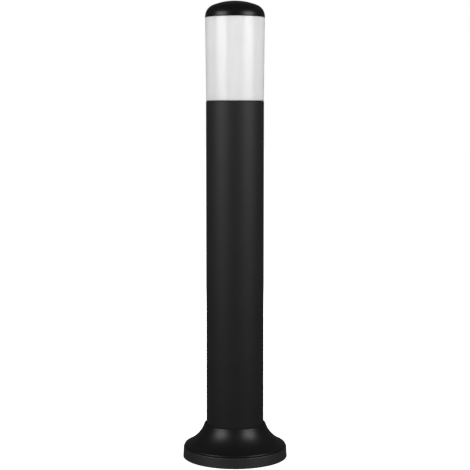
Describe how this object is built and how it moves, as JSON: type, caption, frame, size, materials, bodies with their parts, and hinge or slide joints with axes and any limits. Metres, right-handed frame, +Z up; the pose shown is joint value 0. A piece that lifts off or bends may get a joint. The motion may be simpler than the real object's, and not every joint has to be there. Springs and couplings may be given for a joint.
{
  "type": "bollard light",
  "caption": "Round garden bollard light: black post on a flared foot with a sliding cover, opal lens, screw-on domed cap and screw-base lamp inside.",
  "frame": {"origin": "centre of the foot's underside, on the ground", "axes": "+Z up along the post; +Y towards the terminal block inside the head"},
  "size_m": [0.184, 0.184, 0.8],
  "materials": {
    "black_casting": "satin black powder coat on die-cast aluminium",
    "black_post": "satin black powder coat on extruded aluminium",
    "black_cover": "satin black powder coat on die-cast aluminium",
    "black_cap": "semi-gloss black powder coat on die-cast aluminium",
    "stainless": "plain stainless steel",
    "zinc_sheet": "bright zinc plate",
    "seal_rubber": "matt moulded rubber",
    "gland_plastic": "moulded nylon",
    "terminal_plastic": "moulded polyamide",
    "brass_parts": "plain brass",
    "tinned_copper": "tin plate",
    "wire_brown": "silicone insulation",
    "wire_blue": "silicone insulation",
    "wire_green": "green and yellow silicone insulation",
    "porcelain": "glazed porcelain",
    "nickel_shell": "nickel plate",
    "spring_steel": "spring wire",
    "solder_tip": "solder",
    "opal_lens": "opal acrylic, satin outside",
    "opal_globe": "frosted lamp globe",
    "white_sheet": "white reflective paint",
    "white_plastic": "moulded lamp body",
    "black_glass": "lamp base insulator",
    "phosphor": "phosphor over LED chips"
  },
  "bodies": {
    "post": {"foot_plate": "black_casting", "inlet_grommet": "seal_rubber", "foot_screws": "stainless", "post_tube": "black_post", "head_casting": "black_casting", "head_screws": "stainless", "gland_body": "gland_plastic", "gland_locknut": "gland_plastic", "gland_seal": "seal_rubber", "gland_nut": "gland_plastic", "gear_bracket": "zinc_sheet", "bracket_screws": "stainless", "terminal_block": "terminal_plastic", "terminal_clamps": "brass_parts", "terminal_screws": "stainless", "block_screws": "stainless", "earth_lug": "tinned_copper", "earth_screw": "stainless", "wire_live": "wire_brown", "wire_neutral": "wire_blue", "wire_earth": "wire_green", "lampholder_body": "porcelain", "lampholder_shell": "nickel_shell", "lampholder_contacts": "brass_parts", "holder_clamp_screws": "stainless", "lampholder_screws": "stainless", "contact_spring": "spring_steel", "diffuser_gasket": "seal_rubber", "diffuser": "opal_lens", "reflector_plate": "white_sheet", "reflector_screws": "stainless"},
    "cover": {"base_cover": "black_cover", "neck_seal": "seal_rubber"},
    "cap_carrier": {"cap_seal": "seal_rubber"},
    "cap": {"cap": "black_cap"},
    "lamp_carrier": {"lamp_tip": "solder_tip"},
    "lamp": {"lamp_shell": "nickel_shell", "lamp_insulator": "black_glass", "lamp_housing": "white_plastic", "led_board": "white_sheet", "led_chips": "phosphor", "lamp_globe": "opal_globe"},
    "centre_contact": {"centre_contact": "brass_parts"}
  },
  "joints": [
    {"name": "cover_slide", "type": "slide", "parent": "post", "child": "cover", "axis": [0, 0, 1], "range_m": [0, 0.565]},
    {"name": "cap_rise", "type": "slide", "parent": "post", "child": "cap_carrier", "axis": [0, 0, 1], "range_m": [0, 0.0091]},
    {"name": "cap_turn", "type": "hinge", "parent": "cap_carrier", "child": "cap", "pos_m": [0, 0, 0.771], "axis": [0, 0, 1], "range_deg": [0, 810]},
    {"name": "lamp_rise", "type": "slide", "parent": "post", "child": "lamp_carrier", "axis": [0, 0, 1], "range_m": [0, 0.0183]},
    {"name": "lamp_turn", "type": "hinge", "parent": "lamp_carrier", "child": "lamp", "pos_m": [0, 0, 0.66], "axis": [0, 0, 1], "range_deg": [0, 1800]},
    {"name": "contact_press", "type": "slide", "parent": "post", "child": "centre_contact", "axis": [0, 0, 1], "range_m": [-0.0015, 0], "stiffness_N_per_m": 800, "springref_m": 0.0015, "deforming": ["contact_spring"]}
  ],
  "couplings": [
    {"joint": "cap_rise", "follows": "cap_turn", "m_per_rad": 0.00063662},
    {"joint": "lamp_rise", "follows": "lamp_turn", "m_per_rad": 0.00057757}
  ]
}
